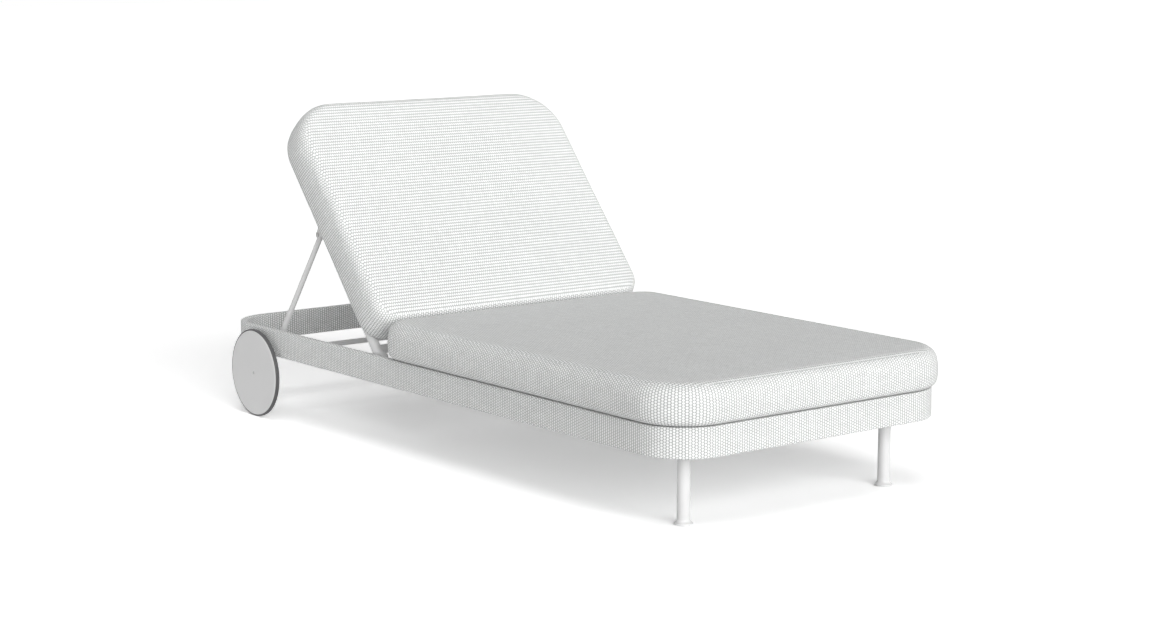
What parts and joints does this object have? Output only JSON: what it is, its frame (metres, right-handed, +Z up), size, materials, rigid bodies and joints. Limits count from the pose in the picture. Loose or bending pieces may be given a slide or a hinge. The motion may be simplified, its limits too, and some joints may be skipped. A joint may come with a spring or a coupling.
{
  "type": "reclining sun lounger",
  "caption": "Low sun lounger with a thick cushion seat and a hinged cushioned back, held up by a folding rear prop, standing on front legs and rear wheels.",
  "frame": {"origin": "On the floor, midway along and across the bed frame. The seat cushion overhangs the foot end by 14.5 mm, so the middle of the whole box is 7 mm nearer the foot.", "axes": "+X to the right-hand side seen from the foot end, +Y towards the head end, +Z up."},
  "size_m": [0.958, 2.0645, 0.8978],
  "materials": {
    "rail_aluminium": "satin",
    "band_weave": "matte",
    "cushion_weave": "matte",
    "white_coat": "satin",
    "wheel_coat": "satin",
    "tyre_rubber": "matte",
    "foot_plastic": "satin",
    "bush_nylon": "matte",
    "pad_rubber": "matte",
    "steel": "satin"
  },
  "bodies": {
    "frame": {"left_side_rail": "rail_aluminium", "right_side_rail": "rail_aluminium", "head_rail": "rail_aluminium", "foot_rail": "rail_aluminium", "left_rail_cover": "band_weave", "right_rail_cover": "band_weave", "head_rail_cover": "band_weave", "foot_rail_cover": "band_weave", "front_cross_beam": "white_coat", "left_seat_ledge": "white_coat", "right_seat_ledge": "white_coat", "seat_slats": "white_coat", "slat_rivets": "steel", "left_front_leg": "white_coat", "right_front_leg": "white_coat", "left_leg_foot": "foot_plastic", "right_leg_foot": "foot_plastic", "leg_screws": "steel", "left_pivot_plate": "white_coat", "right_pivot_plate": "white_coat", "left_pivot_bolt": "steel", "right_pivot_bolt": "steel", "left_prop_rack": "white_coat", "right_prop_rack": "white_coat", "rest_pads": "pad_rubber", "band_screws": "steel", "left_wheel_bracket": "white_coat", "right_wheel_bracket": "white_coat", "bracket_screws": "steel", "left_wheel_axle": "steel", "right_wheel_axle": "steel", "left_hub_screw": "steel", "right_hub_screw": "steel", "seat_cushion": "cushion_weave"},
    "back": {"left_back_arm": "white_coat", "right_back_arm": "white_coat", "back_top_bow": "white_coat", "back_lower_tube": "white_coat", "back_slats": "white_coat", "left_pivot_bush": "bush_nylon", "right_pivot_bush": "bush_nylon", "left_prop_lug": "white_coat", "right_prop_lug": "white_coat", "prop_bolts": "steel", "back_cushion": "cushion_weave"},
    "prop": {"left_prop_strut": "white_coat", "right_prop_strut": "white_coat", "prop_cross_bar": "white_coat", "bar_sleeves": "pad_rubber"},
    "left_wheel": {"left_wheel_disc": "wheel_coat", "left_wheel_tyre": "tyre_rubber", "left_wheel_bush": "bush_nylon"},
    "right_wheel": {"right_wheel_disc": "wheel_coat", "right_wheel_tyre": "tyre_rubber", "right_wheel_bush": "bush_nylon"}
  },
  "joints": [
    {"name": "back_hinge", "type": "hinge", "parent": "frame", "child": "back", "pos_m": [0, 0.2605, 0.243], "axis": [1, 0, 0], "range_deg": [-50, 0]},
    {"name": "prop_hinge", "type": "hinge", "parent": "back", "child": "prop", "pos_m": [0, 0.54846, 0.54573], "axis": [1, 0, 0], "range_deg": [-76, 0]},
    {"name": "left_wheel_spin", "type": "hinge", "parent": "frame", "child": "left_wheel", "pos_m": [-0.4725, 0.82, 0.125], "axis": [1, 0, 0], "continuous": true},
    {"name": "right_wheel_spin", "type": "hinge", "parent": "frame", "child": "right_wheel", "pos_m": [0.4725, 0.82, 0.125], "axis": [1, 0, 0], "continuous": true}
  ],
  "couplings": [
    {"joint": "prop_hinge", "follows": "back_hinge", "ratio": 1.516}
  ]
}
